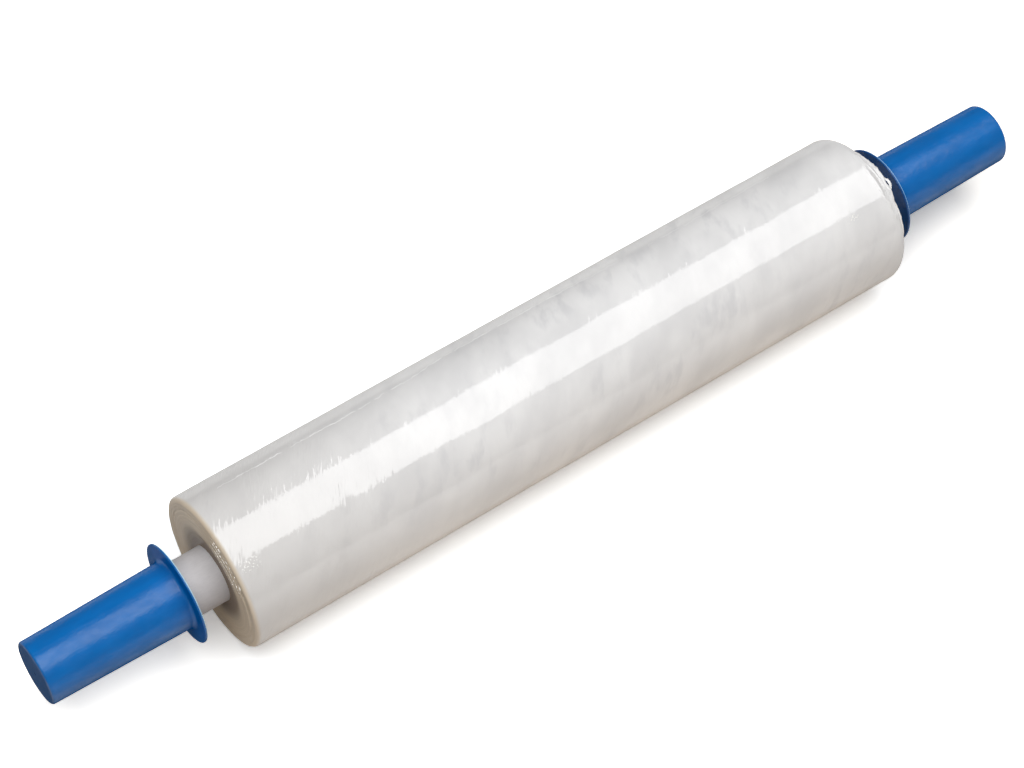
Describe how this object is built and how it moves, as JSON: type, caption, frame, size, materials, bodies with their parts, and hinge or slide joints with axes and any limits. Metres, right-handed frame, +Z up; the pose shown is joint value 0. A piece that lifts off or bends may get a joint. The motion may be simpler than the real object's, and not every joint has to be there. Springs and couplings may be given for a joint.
{
  "type": "stretch wrap roll",
  "caption": "Hand roll of clear stretch film on a long board core, with a flanged plastic grip turning on each end.",
  "frame": {"origin": "centre of the whole roll's bounding box, at the bottom, in the plane of the flat spot that it lies on", "axes": "+X along the roll's axis towards the right grip, +Z up, +Y across the roll"},
  "size_m": [0.7448, 0.1044, 0.104],
  "materials": {
    "stretch_film": "clear film in many turns, milky and glossy",
    "core_board": "smooth light grey tube board, matte",
    "grip_plastic": "blue moulded plastic, satin"
  },
  "bodies": {
    "roll": {"core_tube": "core_board", "film_roll": "stretch_film"},
    "left_handle": {"left_grip": "grip_plastic"},
    "right_handle": {"right_grip": "grip_plastic"}
  },
  "joints": [
    {"name": "left_grip_spin", "type": "hinge", "parent": "roll", "child": "left_handle", "pos_m": [-0.32, 0, 0.05185], "axis": [1, 0, 0], "continuous": true},
    {"name": "right_grip_spin", "type": "hinge", "parent": "roll", "child": "right_handle", "pos_m": [0.32, 0, 0.05185], "axis": [1, 0, 0], "continuous": true}
  ]
}
